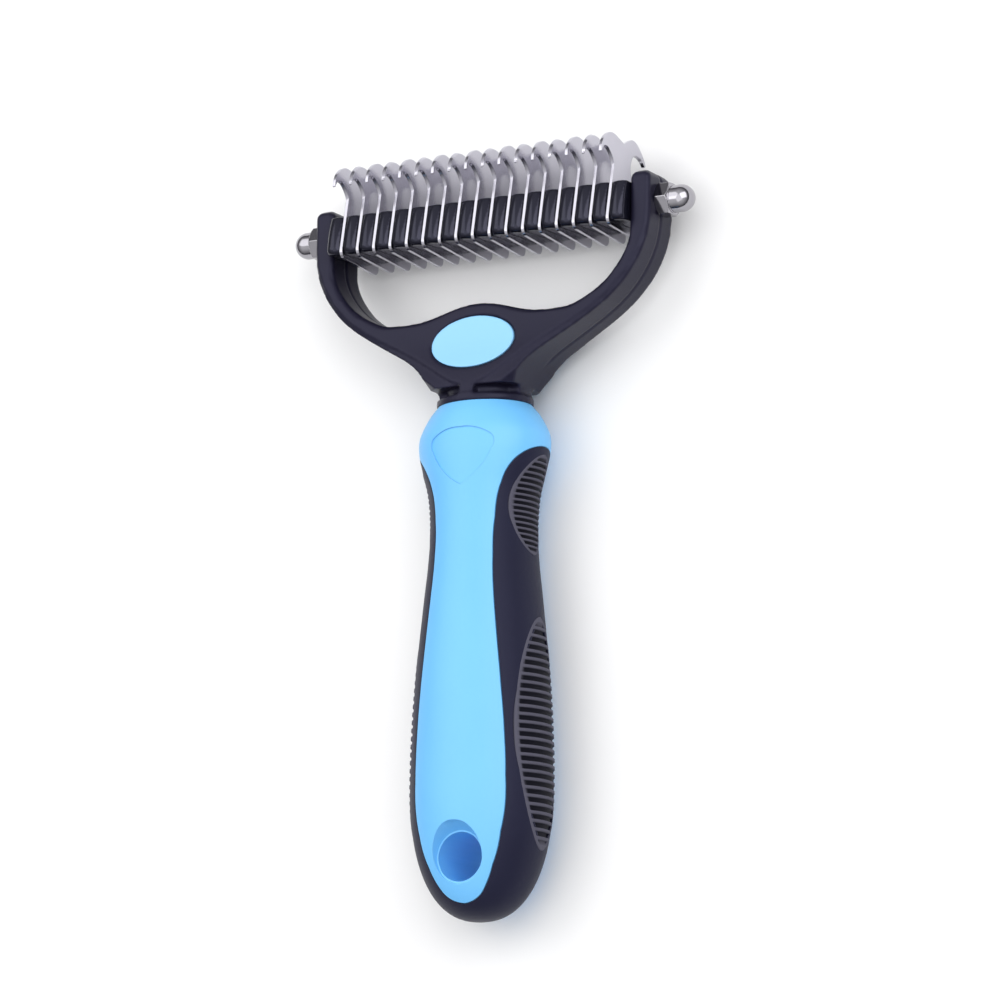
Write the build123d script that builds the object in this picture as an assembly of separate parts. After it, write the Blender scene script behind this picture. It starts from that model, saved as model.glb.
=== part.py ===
from build123d import *
import math
import os

# Two-sided dematting comb: a rake of thin hooked blades in a fork on a moulded grip.
#
# Frame: X along the blade rod, +Y from the handle's end to the hooks, +Z the front, which is the
# side of the long row of hooks. The comb lies on its back, and the origin is at the middle of the
# base of its box. All sizes are in millimetres.

# ---- overall places ----
HANDLE_LENGTH = 116.0           # handle end to the collar
ROD_ABOVE_HANDLE = 43.5         # collar to the rod's axis
HOOKS_ABOVE_ROD = 15.5          # rod's axis to the tops of the hooks
HANDLE_AXIS_Z = 13.4            # height of the handle's axis above the table
ROD_BEHIND_AXIS = 2.2           # the rod lies this far behind the handle's axis
OVERALL_LENGTH = HANDLE_LENGTH + ROD_ABOVE_HANDLE + HOOKS_ABOVE_ROD
HANDLE_END_Y = -OVERALL_LENGTH / 2
HANDLE_TOP_Y = HANDLE_END_Y + HANDLE_LENGTH
ROD_Y = HANDLE_TOP_Y + ROD_ABOVE_HANDLE
ROD_Z = HANDLE_AXIS_Z - ROD_BEHIND_AXIS

# ---- blades, spacers, rod and nuts ----
BLADE_COUNT = 17
BLADE_THICKNESS = 0.7
SPACER_WIDTH = 3.6
BEVEL_WIDTH = 0.6               # ground face along the inside of each hook
BEVEL_DEPTH = 0.28
BLADE_FRONT_HIGH = (6.4, 7.8)   # ends of the blades' straight front edge: Z and Y from the rod
BLADE_FRONT_LOW = (9.0, -4.2)
HOOK_THROAT_TOP = 12.2          # the insides of the hooks lie below this, above the rod
ROD_RADIUS = 1.95
ROD_CLEARANCE = 0.1
ROD_CHAMFER = 0.4
ROD_IN_NUT = 4.8                # how far the rod reaches into each cap nut
PIN_RADIUS = 0.95
PIN_CLEARANCE = 0.1
PIN_SOCKET = 2.0                # depth of the pin's blind sockets in the arms
PIN_BEHIND_ROD = 3.5
PIN_BELOW_ROD = 2.2
SPACER_INSET = 0.3              # the spacers stand this far inside the blades' front edge
SPACER_TOP = 3.8
SPACER_BOTTOM = 5.4
SPACER_CROWN = 0.3
SPACER_LOW_CORNER = 1.4
SPACER_REAR_HIGH = -3.3         # Z of the spacers' back, at their top and at their base
SPACER_REAR_LOW = -6.2
NUT_ACROSS_FLATS = 7.0
NUT_HEX_HEIGHT = 3.2
NUT_DOME_RADIUS = 3.1
NUT_TOTAL = 8.3
NUT_FACE_CHAMFER = 0.45

# ---- fork ----
ARM_WIDTH = 4.85
ARM_TOP = 6.5                   # arms end this far above the rod
ARM_CORNER = 2.0
ARM_REAR_CORNER = 4.0
FORK_FRONT = 5.9                # faces of the fork at the arms, from the rod's axis
FORK_REAR = -6.0
FORK_FOOT = 42.8                # the fork runs this far below the rod
HUB_HALF_WIDTH = 18.0           # where the opening's lower edge turns up towards the middle
PLATE_STEP = 0.55               # the face plates stand this much proud of the fork's body
PLATE_MARGIN = 0.55
COLLAR_HALF_WIDTH = 11.3
COLLAR_HALF_DEPTH = 9.6
COLLAR_HEIGHT = 1.7
NECK_SLOT_HEIGHT = 2.0
NECK_SLOT_DEPTH = 2.6
NECK_TAB_WIDTH = 3.5
NECK_BRIDGE = 6.0               # depth of the solid bridge at each side, between front and rear slots
TANG_WIDTH = 12.0
TANG_DEPTH = 9.0
TANG_LENGTH = 24.0
TANG_CLEARANCE = 0.15

# ---- oval badges ----
BADGE_LENGTH = 21.0
BADGE_HEIGHT = 12.2
BADGE_BELOW_ROD = 29.4
BADGE_THICKNESS = 1.0
BADGE_PROUD = 0.15
BADGE_CLEARANCE = 0.12

# ---- handle ----
# distances from the handle's end are drawn for this length, and stretch with HANDLE_LENGTH
DRAWN_LENGTH = 116.0
BULGE_FROM_END = 31.0
BULGE_HALF_WIDTH = 16.7
BULGE_HALF_DEPTH = HANDLE_AXIS_Z
END_SQUARENESS = 2.35           # exponent of the rounded end
END_ANGLES = (4, 10, 18, 28, 40, 54, 70, 90)    # where the rounded end has its sections
# distance from the end, half width, half depth, from the bulge up to the collar
HANDLE_STATIONS = [
    (40.0, 16.5, 13.35),
    (50.0, 15.9, 13.2),
    (60.0, 15.0, 12.8),
    (72.0, 13.7, 12.1),
    (81.0, 12.7, 11.4),
    (89.0, 12.3, 11.1),
    (97.0, 13.2, 11.3),
    (102.0, 14.7, 11.75),
    (106.0, 15.6, 11.95),
    (109.0, 15.5, 11.8),
    (112.0, 14.1, 11.1),
    (114.0, 12.8, 10.4),
    (DRAWN_LENGTH, 11.0, 9.4),
]
# right edge of the core's bare strip: X and distance from the end
STRIP_TIP = 3.4
STRIP_SIDE = [
    (3.2, 4.4),
    (5.6, 6.8),
    (8.8, 13.6),
    (11.0, 24.0),
    (11.2, 36.0),
    (10.2, 50.0),
    (8.5, 66.0),
    (7.3, 82.0),
    (7.8, 92.0),
    (10.0, 99.8),
]
STRIP_SHOULDER = [(14.1, 104.7), (19.0, 107.4)]
GRIP_GAP = 0.2                  # shadow gap between the grip's edge and the core
PAD_BACKING = 0.6               # grip wall left behind each pad
PAD_CLEARANCE = 0.05
UPPER_PAD = (81.3, 103.9, 6.8)  # first and last distance from the end, half height
LOWER_PAD = (14.9, 67.2, 8.5)
HOLE_FROM_END = 13.4
HOLE_RADIUS = 5.5
DISH_HALF_WIDTH = 6.8
DISH_HALF_LENGTH = 7.8
DISH_HEIGHT = 12.6              # height of the dishes' mouths above and below the handle's axis
DISH_DEPTH = 3.2
DISH_LEDGE = 0.2                # narrow step between the bore and each dish
THUMB_TOP = 109.6
THUMB_BOTTOM = 96.6
THUMB_HALF_WIDTH = 8.0
THUMB_DEPTH = 0.35

# ---- worked out from the sizes above ----
PITCH = BLADE_THICKNESS + SPACER_WIDTH
GAP_HALF = (BLADE_COUNT * BLADE_THICKNESS + (BLADE_COUNT + 1) * SPACER_WIDTH) / 2
ARM_OUTER = GAP_HALF + ARM_WIDTH
OVERALL_WIDTH = 2 * (ARM_OUTER + NUT_TOTAL)
ROD_HOLE = ROD_RADIUS + ROD_CLEARANCE
PIN_HOLE = PIN_RADIUS + PIN_CLEARANCE
REACH = 60.0                    # longer than anything it cuts
MOUTH_RISE = 4.0                # the dishes' cutters run on this far past their mouths


def from_end(distance):
    """Y of a place given by its drawn distance from the handle's end."""
    return HANDLE_END_Y + distance * HANDLE_LENGTH / DRAWN_LENGTH


def side_plane(x):
    """Plane square to the rod at x. Its local x is Z and its local y is Y, from the rod's axis."""
    return Plane(origin=(x, ROD_Y, ROD_Z), x_dir=(0, 0, 1), z_dir=(-1, 0, 0))


def front_plane(z=0.0):
    """Plane facing +Z, with its origin on the rod's axis at height z above the table."""
    return Plane(origin=(0, ROD_Y, z), x_dir=(1, 0, 0), z_dir=(0, 0, 1))


def mirrored(half):
    """A half outline with its mirror image in the YZ plane."""
    return half + mirror(half, about=Plane.YZ)


# ---- blades ----
def blade_outline(double):
    """Blade outline in the side plane. A double blade also has the hook at the rear."""
    body = [
        Line(BLADE_FRONT_HIGH, BLADE_FRONT_LOW),
        ThreePointArc(BLADE_FRONT_LOW, (8.55, -5.75), (7.1, -6.3)),
        Line((7.1, -6.3), (-5.6, -7.1)),
        ThreePointArc((-5.6, -7.1), (-7.1, -6.5), (-7.4, -5.0)),
        Line((-7.4, -5.0), (-2.4, 6.5)),
    ]
    front_hook = [
        Spline(BLADE_FRONT_HIGH, (8.3, 10.3), (10.06, 11.15), (12.0, 9.7)),
        ThreePointArc((12.0, 9.7), (12.3, 9.6), (12.45, 9.9)),
        Spline((12.45, 9.9), (10.9, 13.4), (7.6, 15.05), (4.6, 14.6), (1.65, 13.7)),
    ]
    if double:
        rear = [
            Spline((1.65, 13.7), (-0.2, 14.7), (-2.2, 15.5), (-6.1, 14.0), (-8.6, 11.0)),
            ThreePointArc((-8.6, 11.0), (-8.3, 10.6), (-7.85, 10.6)),
            Spline((-7.85, 10.6), (-5.6, 12.0), (-3.45, 11.9), (-1.9, 9.8), (-2.4, 6.5)),
        ]
    else:
        rear = [Spline((1.65, 13.7), (-1.0, 11.6), (-2.0, 9.0), (-2.4, 6.5))]
    return make_face(body + front_hook + rear)


def blade(x, double):
    """One thin steel blade centred at x, with holes for the rod and the key pin.

    The inside of each hook is ground to an edge from the +X face.
    """
    plane = side_plane(x - BLADE_THICKNESS / 2)
    plate = extrude(plane * blade_outline(double), BLADE_THICKNESS, dir=(1, 0, 0))
    ground_face = plate.faces().sort_by(Axis.X)[-1]
    hook_insides = [
        edge
        for edge in ground_face.edges()
        if edge.geom_type == GeomType.BSPLINE and edge.center().Y < ROD_Y + HOOK_THROAT_TOP
    ]
    plate = chamfer(hook_insides, BEVEL_DEPTH, BEVEL_WIDTH, reference=ground_face)
    return plate - rod_cutter() - pin_cutter(GAP_HALF)


def rod_cutter(radius=ROD_HOLE, half_length=REACH):
    """Round bar along the rod's axis."""
    disc = Pos(ROD_Y, ROD_Z) * Circle(radius)
    return extrude(Plane.YZ.offset(-half_length) * disc, 2 * half_length)


def pin_cutter(half_length, radius=PIN_HOLE):
    """Round bar along the key pin's axis."""
    disc = Pos(ROD_Y - PIN_BELOW_ROD, ROD_Z - PIN_BEHIND_ROD) * Circle(radius)
    return extrude(Plane.YZ.offset(-half_length) * disc, 2 * half_length)


# ---- spacers, rod and nuts ----
def spacer_outline():
    """Spacer outline in the side plane: a block whose front follows the blades' front edge."""
    high_z, high_y = BLADE_FRONT_HIGH
    low_z, low_y = BLADE_FRONT_LOW
    lean = (low_z - high_z) / (high_y - low_y)
    top_front = (high_z + lean * (high_y - SPACER_TOP) - SPACER_INSET, SPACER_TOP)
    low_front = (low_z - SPACER_INSET, -SPACER_BOTTOM + SPACER_LOW_CORNER)
    crown = ((top_front[0] + low_front[0]) / 2 + SPACER_CROWN, (top_front[1] + low_front[1]) / 2)
    corner = (low_front[0] - 0.5, -SPACER_BOTTOM + SPACER_LOW_CORNER / 4)
    base_front = (low_front[0] - 1.3 * SPACER_LOW_CORNER, -SPACER_BOTTOM)
    base_rear = (SPACER_REAR_LOW, -SPACER_BOTTOM + SPACER_LOW_CORNER / 2)
    top_rear = (SPACER_REAR_HIGH, SPACER_TOP)
    return make_face(
        [
            ThreePointArc(top_front, crown, low_front),
            ThreePointArc(low_front, corner, base_front),
            Line(base_front, base_rear),
            Line(base_rear, top_rear),
            Line(top_rear, top_front),
        ]
    )


def spacer(x, width=SPACER_WIDTH):
    """One moulded spacer block centred at x."""
    block = extrude(side_plane(x - width / 2) * spacer_outline(), width, dir=(1, 0, 0))
    return block - rod_cutter() - pin_cutter(GAP_HALF)


def blade_rod():
    """Threaded rod that holds the stack between the arms."""
    bar = rod_cutter(ROD_RADIUS, ARM_OUTER + ROD_IN_NUT)
    ends = bar.edges().filter_by(GeomType.CIRCLE)
    return chamfer(ends, ROD_CHAMFER)


def key_pin():
    """Thin pin beside the rod that keeps blades and spacers from turning."""
    return pin_cutter(GAP_HALF + PIN_SOCKET - PIN_CLEARANCE, PIN_RADIUS)


def cap_nut(side):
    """Domed hex nut on the rod's end. side is +1 or -1."""
    seat = Plane(origin=(side * ARM_OUTER, ROD_Y, ROD_Z), x_dir=(0, 0, 1), z_dir=(side, 0, 0))
    corner_radius = NUT_ACROSS_FLATS / math.sqrt(3)
    hexagon = extrude(seat * RegularPolygon(corner_radius, 6), NUT_HEX_HEIGHT)
    cone_height = NUT_HEX_HEIGHT + NUT_FACE_CHAMFER
    profile = make_face(
        Polyline(
            (0, 0),
            (corner_radius - NUT_FACE_CHAMFER, 0),
            (corner_radius + 0.1, NUT_FACE_CHAMFER),
            (corner_radius + 0.1, NUT_HEX_HEIGHT - NUT_FACE_CHAMFER),
            (NUT_DOME_RADIUS, cone_height),
            (0, cone_height),
            close=True,
        )
    )
    turned = Plane(origin=seat.origin, x_dir=(0, 0, 1), z_dir=(0, side, 0))
    blank = revolve(turned * profile, Axis(seat.origin, (1, 0, 0)))
    straight = NUT_TOTAL - NUT_DOME_RADIUS
    dome = extrude(seat * Circle(NUT_DOME_RADIUS), straight)
    ball = Pos(*(seat.origin + seat.z_dir * straight)) * Sphere(NUT_DOME_RADIUS)
    nut = (hexagon & blank) + dome + ball
    drill = extrude(seat * Circle(ROD_RADIUS + ROD_CLEARANCE / 2), ROD_IN_NUT + ROD_CLEARANCE)
    return nut - drill


# ---- fork ----
def window_edge():
    """Right half of the opening's edge, from the arm's top down to the middle, below the rod."""
    return [
        Line((GAP_HALF, ARM_TOP), (GAP_HALF, -6.5)),
        Spline(
            (GAP_HALF, -6.5),
            (GAP_HALF - 2.45, -14.1),
            (GAP_HALF - 7.25, -19.3),
            (GAP_HALF - 13.35, -22.6),
            (HUB_HALF_WIDTH, -23.4),
            tangents=[(0, -1), (-1, 0)],
        ),
        Spline((HUB_HALF_WIDTH, -23.4), (8.5, -21.7), (0, -20.2), tangents=[(-1, 0), (-1, 0)]),
    ]


def body_outline():
    """Fork's body seen from the front: both arms and the hub, down to inside the neck."""
    outer = [
        Line((GAP_HALF, ARM_TOP), (ARM_OUTER, ARM_TOP)),
        Line((ARM_OUTER, ARM_TOP), (ARM_OUTER, -3.0)),
        Spline(
            (ARM_OUTER, -3.0),
            (ARM_OUTER - 1.2, -10.4),
            (ARM_OUTER - 4.6, -16.8),
            (ARM_OUTER - 10.2, -22.6),
            (ARM_OUTER - 15.2, -26.0),
            (20.0, -30.7),
            tangents=[(0, -1), (-0.88, -0.5)],
        ),
        Spline((20.0, -30.7), (13.5, -35.4), (10.3, -41.0), tangents=[(-0.88, -0.5), (-0.3, -1)]),
        Line((10.3, -41.0), (0, -41.0)),
    ]
    return make_face(mirrored(Curve() + outer + window_edge()).edges())


def plate_outline():
    """Raised face plate: inset from the body outside, and running in a V to the neck's tab."""
    inset = PLATE_MARGIN
    top = ARM_TOP - inset
    tab = NECK_TAB_WIDTH / 2
    outer = [
        Line((GAP_HALF + inset, top), (ARM_OUTER - inset, top)),
        Line((ARM_OUTER - inset, top), (ARM_OUTER - inset, -3.0)),
        Spline(
            (ARM_OUTER - inset, -3.0),
            (ARM_OUTER - 2.0, -10.0),
            (ARM_OUTER - 5.6, -16.4),
            (ARM_OUTER - 11.2, -22.0),
            (ARM_OUTER - 16.4, -25.4),
            (18.5, -29.8),
            tangents=[(0, -1), (-0.88, -0.48)],
        ),
        Spline((18.5, -29.8), (9.5, -35.2), (tab + 2.2, -38.6), tangents=[(-0.88, -0.48), (-0.9, -0.44)]),
        Spline((tab + 2.2, -38.6), (tab, -40.2), tangents=[(-0.9, -0.44), (0, -1)]),
        Line((tab, -40.2), (tab, -42.6)),
        Line((tab, -42.6), (0, -42.6)),
    ]
    inner = [
        Line((GAP_HALF + inset, top), (GAP_HALF + inset, -6.5)),
        Spline(
            (GAP_HALF + inset, -6.5),
            (GAP_HALF - 1.95, -14.3),
            (GAP_HALF - 6.85, -19.7),
            (GAP_HALF - 13.15, -23.1),
            (HUB_HALF_WIDTH, -23.4 - inset),
            tangents=[(0, -1), (-1, 0)],
        ),
        Spline(
            (HUB_HALF_WIDTH, -23.4 - inset), (8.5, -21.7 - inset), (0, -20.2 - inset),
            tangents=[(-1, 0), (-1, 0)],
        ),
    ]
    return make_face(mirrored(Curve() + outer + inner).edges())


def depth_outline(step):
    """Fork seen from the side, in the side plane, with its faces taken in by step."""
    front = FORK_FRONT - step
    rear = FORK_REAR + step
    axis = ROD_BEHIND_AXIS
    low_front = axis + COLLAR_HALF_DEPTH - 0.1 - step
    low_rear = axis - COLLAR_HALF_DEPTH + 0.1 + step
    corner = ARM_REAR_CORNER
    return make_face(
        [
            Line((front - ARM_CORNER, ARM_TOP), (rear + corner, ARM_TOP)),
            RadiusArc((front - ARM_CORNER, ARM_TOP), (front, ARM_TOP - ARM_CORNER), ARM_CORNER),
            RadiusArc((rear, ARM_TOP - corner), (rear + corner, ARM_TOP), corner),
            Line((front, ARM_TOP - ARM_CORNER), (front, 0)),
            Spline(
                (front, 0), (front + 0.8, -14.0), (front + 2.5, -29.4), (low_front, -FORK_FOOT),
                tangents=[(0, -1), (0.1, -1)],
            ),
            Line((low_front, -FORK_FOOT), (low_rear, -FORK_FOOT)),
            Spline(
                (low_rear, -FORK_FOOT), (rear + 0.4, -29.4), (rear + 0.2, -14.0), (rear, 0),
                tangents=[(0.1, 1), (0, 1)],
            ),
            Line((rear, 0), (rear, ARM_TOP - corner)),
        ]
    )


def depth_block(step=0.0):
    """The fork's side outline carried across its whole width."""
    return extrude(side_plane(0) * depth_outline(step), REACH, both=True)


def neck_section(below_rod, half_width, front, rear, corner):
    """Rounded rectangle across the neck. front and rear are measured from the rod's axis."""
    plane = Plane(
        origin=(0, ROD_Y - below_rod, ROD_Z + (front + rear) / 2), x_dir=(1, 0, 0), z_dir=(0, -1, 0)
    )
    return plane * RectangleRounded(2 * half_width, front - rear, corner)


def neck():
    """Neck that swells from inside the hub and runs down to the collar."""
    axis = ROD_BEHIND_AXIS
    low_front = axis + COLLAR_HALF_DEPTH - PLATE_STEP
    low_rear = axis - COLLAR_HALF_DEPTH + PLATE_STEP
    sections = [
        neck_section(28.5, 21.0, 7.3, -5.0, 5.0),
        neck_section(32.0, 16.9, 7.9, -5.2, 5.6),
        neck_section(35.5, 13.0, 8.9, -5.7, 6.3),
        neck_section(39.0, 11.0, 10.0, -6.4, 7.4),
        neck_section(FORK_FOOT, 10.7, low_front, low_rear, 8.6),
    ]
    return loft(sections)


def ellipse_bar(half_width, half_depth, start, length):
    """Elliptical bar on the handle's axis, from start above the handle's top upward."""
    plane = Plane(origin=(0, HANDLE_TOP_Y + start, HANDLE_AXIS_Z), x_dir=(1, 0, 0), z_dir=(0, 1, 0))
    return extrude(plane * Ellipse(half_width, half_depth), length)


def neck_slots():
    """Four dark slots round the neck above the collar, left open between tabs and bridges."""
    start = COLLAR_HEIGHT
    ring = ellipse_bar(20, 20, start, NECK_SLOT_HEIGHT)
    ring -= ellipse_bar(
        COLLAR_HALF_WIDTH - NECK_SLOT_DEPTH, COLLAR_HALF_DEPTH - NECK_SLOT_DEPTH, start, NECK_SLOT_HEIGHT
    )
    middle = Pos(0, HANDLE_TOP_Y + start, HANDLE_AXIS_Z)
    tabs = Box(NECK_TAB_WIDTH, 3 * NECK_SLOT_HEIGHT, 60)
    bridges = Box(60, 3 * NECK_SLOT_HEIGHT, NECK_BRIDGE)
    return ring - middle * tabs - middle * bridges


def tang(clearance=0.0):
    """Tongue below the collar that the handle's core is moulded to take."""
    width = TANG_WIDTH + 2 * clearance
    depth = TANG_DEPTH + 2 * clearance
    length = TANG_LENGTH + clearance
    return Pos(0, HANDLE_TOP_Y - length / 2, HANDLE_AXIS_Z) * Box(width, length, depth)


def badge_oval(clearance=0.0):
    """Upright bar of the badges' oval section, through the whole hub."""
    oval = Pos(0, -BADGE_BELOW_ROD) * Ellipse(
        BADGE_LENGTH / 2 + clearance, BADGE_HEIGHT / 2 + clearance
    )
    return extrude(front_plane(ROD_Z) * oval, REACH, both=True)


def badge(side):
    """Oval inlay that follows the hub's face. side is +1 for the front and -1 for the rear."""
    oval = badge_oval()
    skin = (oval & Pos(0, 0, side * BADGE_PROUD) * depth_block()) - Pos(
        0, 0, -side * BADGE_THICKNESS
    ) * depth_block()
    return keep_side(skin, side)


def keep_side(shape, side):
    """The part of a shape in front of the rod's plane (side +1) or behind it (side -1)."""
    half = Pos(0, 0, ROD_Z + side * REACH / 2) * Box(3 * REACH, 6 * REACH, REACH)
    return shape & half


def fork_yoke():
    """Black fork: body, raised face plates, neck, collar and the tongue in the handle."""
    body = extrude(front_plane(ROD_Z) * body_outline(), REACH, both=True) & depth_block(PLATE_STEP)
    plate = extrude(front_plane(ROD_Z) * plate_outline(), REACH, both=True) & depth_block()
    collar = ellipse_bar(COLLAR_HALF_WIDTH, COLLAR_HALF_DEPTH, 0, COLLAR_HEIGHT)
    fork = body + plate + neck() + collar + tang()
    fork -= neck_slots()
    recess = badge_oval(BADGE_CLEARANCE)
    core = (Pos(0, 0, -BADGE_THICKNESS) * depth_block()) & (Pos(0, 0, BADGE_THICKNESS) * depth_block())
    fork -= recess - core
    return fork - rod_cutter(ROD_RADIUS + ROD_CLEARANCE / 2) - pin_cutter(GAP_HALF + PIN_SOCKET)


# ---- handle ----
def handle_section(distance, half_width, half_depth):
    """Elliptical section of the handle at a distance from its end."""
    plane = Plane(origin=(0, from_end(distance), HANDLE_AXIS_Z), x_dir=(1, 0, 0), z_dir=(0, 1, 0))
    return plane * Ellipse(half_width, half_depth)


def handle_body():
    """Whole handle as one solid: a rounded end, then sections up to the collar."""
    power = 2 / END_SQUARENESS
    sections = []
    for degrees in END_ANGLES:
        angle = math.radians(degrees)
        distance = BULGE_FROM_END * (1 - math.cos(angle) ** power)
        share = math.sin(angle) ** power
        sections.append(handle_section(distance, BULGE_HALF_WIDTH * share, BULGE_HALF_DEPTH * share))
    for distance, width, depth in HANDLE_STATIONS:
        sections.append(handle_section(distance, width, depth))
    return loft(sections, ruled=True)


def strip_outline(margin=0.0):
    """Outline of the core's bare strip, seen from the front, with its edge moved out by margin."""
    side = [(x + margin, from_end(distance)) for x, distance in STRIP_SIDE]
    shoulder = [(x, from_end(distance) - margin) for x, distance in STRIP_SHOULDER]
    edge = shoulder[-1][0]
    past = HANDLE_TOP_Y + BULGE_HALF_WIDTH
    half = [
        ThreePointArc((0, from_end(STRIP_TIP) - margin), side[0], side[1]),
        Spline(*side[1:], *shoulder),
        Line(shoulder[-1], (edge, past)),
        Line((edge, past), (0, past)),
    ]
    return make_face(mirrored(Curve() + half).edges())


def strip_bar(margin=0.0):
    """The strip's outline carried through the handle from front to back."""
    return extrude(Plane.XY * strip_outline(margin), 3 * REACH, both=True)


def hanging_hole():
    """Through hole near the end, with a dished mouth on the front and on the back."""
    y = from_end(HOLE_FROM_END)
    bore = Pos(0, y, HANDLE_AXIS_Z) * Cylinder(HOLE_RADIUS, 2 * REACH)
    for side in (1, -1):
        rim = Plane(
            origin=(0, y, HANDLE_AXIS_Z + side * DISH_HEIGHT), x_dir=(1, 0, 0), z_dir=(0, 0, side)
        )
        low = rim.offset(-DISH_DEPTH) * Ellipse(HOLE_RADIUS + DISH_LEDGE, HOLE_RADIUS + 2 * DISH_LEDGE)
        mouth = rim * Ellipse(DISH_HALF_WIDTH, DISH_HALF_LENGTH)
        bore += loft([low, mouth]) + extrude(mouth, MOUTH_RISE, dir=(0, 0, side))
    return bore


def thumb_outline():
    """Shield outline of the thumb rest, wide at the top and pointed below."""
    half = THUMB_HALF_WIDTH
    top = from_end(THUMB_TOP)
    shoulder = (half - 1.2, top - 1.6)
    right = [
        ThreePointArc((0, top), (half * 0.5, top - 0.35), shoulder),
        ThreePointArc(shoulder, (half, top - 3.2), (half - 0.5, top - 5.0)),
        ThreePointArc((half - 0.5, top - 5.0), (half * 0.62, top - 9.2), (0, from_end(THUMB_BOTTOM))),
    ]
    return make_face(mirrored(Curve() + right).edges())


def handle_core(outer):
    """Hard blue core: its bare strip shows on the front, the back and the shoulder."""
    core = outer & strip_bar()
    shield = extrude(Plane.XY.offset(HANDLE_AXIS_Z) * thumb_outline(), REACH / 3, dir=(0, 0, 1))
    core -= shield - Pos(0, 0, -THUMB_DEPTH) * outer
    return core - tang(TANG_CLEARANCE) - hanging_hole()


def pad_bar(side, pad, margin=0.0):
    """Lens outline of a ribbed pad, carried outward from the middle of the handle."""
    plane = Plane(origin=(0, 0, HANDLE_AXIS_Z), x_dir=(0, 0, -side), z_dir=(side, 0, 0))
    first, last, half_height = pad
    top = (0, from_end(last) + 2 * margin)
    low = (0, from_end(first) - 2 * margin)
    middle = (top[1] + low[1]) / 2
    lens = make_face(
        [
            ThreePointArc(low, (half_height + margin, middle), top),
            ThreePointArc(top, (-half_height - margin, middle), low),
        ]
    )
    return extrude(plane * lens, REACH / 2, dir=(side, 0, 0))


def grip_pad(side, pad, outer):
    """One pad let into the grip's side, over a thin wall of the grip."""
    return (outer & pad_bar(side, pad)) - strip_bar(GRIP_GAP + PAD_BACKING)


def grip_overmold(outer):
    """Soft dark grip round both sides and the end, open to the core's strip, with pad pockets."""
    grip = outer - strip_bar(GRIP_GAP)
    backing = strip_bar(GRIP_GAP + PAD_BACKING)
    for side in (1, -1):
        for pad in (UPPER_PAD, LOWER_PAD):
            grip -= pad_bar(side, pad, PAD_CLEARANCE) - backing
    return grip


# ---- writing the pieces ----
def write(node, shape):
    """Write one piece as parts/NODE.step and say what it holds."""
    shape.label = node
    solids = len(shape.solids())
    print(f"{node:24s} solids {solids}  volume {shape.volume:10.2f}")
    export_step(shape, f"parts/{node}.step")


def main():
    """Build every piece and write it."""
    os.makedirs("parts", exist_ok=True)
    print(f"overall width {OVERALL_WIDTH:.1f}, length {OVERALL_LENGTH:.1f}")
    for index in range(BLADE_COUNT):
        x = (index - (BLADE_COUNT - 1) / 2) * PITCH
        write(f"blade_{index + 1:02d}", blade(x, double=index % 2 == 0))
    for index in range(BLADE_COUNT - 1):
        write(f"spacer_{index + 1:02d}", spacer((index - (BLADE_COUNT - 2) / 2) * PITCH))
    for side, name in ((-1, "left"), (1, "right")):
        write(f"end_spacer_{name}", spacer(side * (BLADE_COUNT * PITCH) / 2))
        write(f"cap_nut_{name}", cap_nut(side))
    write("blade_rod", blade_rod())
    write("key_pin", key_pin())
    write("fork_yoke", fork_yoke())
    write("badge_oval_front", badge(1))
    write("badge_oval_rear", badge(-1))
    outer = handle_body()
    write("handle_core", handle_core(outer))
    write("grip_overmold", grip_overmold(outer))
    for side, name in ((-1, "left"), (1, "right")):
        write(f"grip_pad_upper_{name}", grip_pad(side, UPPER_PAD, outer))
        write(f"grip_pad_lower_{name}", grip_pad(side, LOWER_PAD, outer))


if __name__ == "__main__":
    main()
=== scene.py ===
"""Looks of the two-sided dematting comb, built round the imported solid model.

All lengths are metres in the model's own frame: X along the blade rod, +Y from the handle's end
to the hooks, +Z out of the front.
"""

import logging
import math
from dataclasses import dataclass, field
from enum import Enum
from functools import partial
from typing import Callable

import bmesh
import bpy
import numpy as np
from mathutils import Matrix, Vector

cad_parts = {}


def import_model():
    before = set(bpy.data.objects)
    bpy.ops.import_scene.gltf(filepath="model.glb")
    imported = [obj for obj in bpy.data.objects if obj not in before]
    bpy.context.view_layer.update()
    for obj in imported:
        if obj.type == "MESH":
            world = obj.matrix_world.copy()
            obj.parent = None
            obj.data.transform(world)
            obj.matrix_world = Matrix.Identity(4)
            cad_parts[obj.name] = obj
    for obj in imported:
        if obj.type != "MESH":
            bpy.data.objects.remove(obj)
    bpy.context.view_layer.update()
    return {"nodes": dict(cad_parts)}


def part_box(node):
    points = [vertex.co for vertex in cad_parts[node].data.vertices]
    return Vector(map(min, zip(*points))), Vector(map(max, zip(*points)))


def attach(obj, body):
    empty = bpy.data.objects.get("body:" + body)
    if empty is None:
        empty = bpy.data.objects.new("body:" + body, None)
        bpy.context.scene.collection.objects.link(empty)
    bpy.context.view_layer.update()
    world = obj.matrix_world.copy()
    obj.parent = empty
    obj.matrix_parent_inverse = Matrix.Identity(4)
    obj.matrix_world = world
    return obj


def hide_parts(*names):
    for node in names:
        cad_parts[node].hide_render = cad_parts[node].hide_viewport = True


LOG = logging.getLogger("comb")
MM = 0.001

Colour = tuple[float, float, float]
Place = tuple[float, float, float]
Tree = bpy.types.NodeTree
Node = bpy.types.Node
Socket = bpy.types.NodeSocket
Shaper = Callable[[np.ndarray], np.ndarray]

GRAIN_DETAIL = 3.0
MARK_DETAIL = 2.0
HAZE_SCALE = 180.0
GRIND_LAY = (1.0, 0.06, 1.0)  # grinding marks are drawn out along Y
EDGE_SAMPLES = 6
COAT_ROUGHNESS = 0.08
LEAST_ROUGHNESS = 0.02

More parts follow.
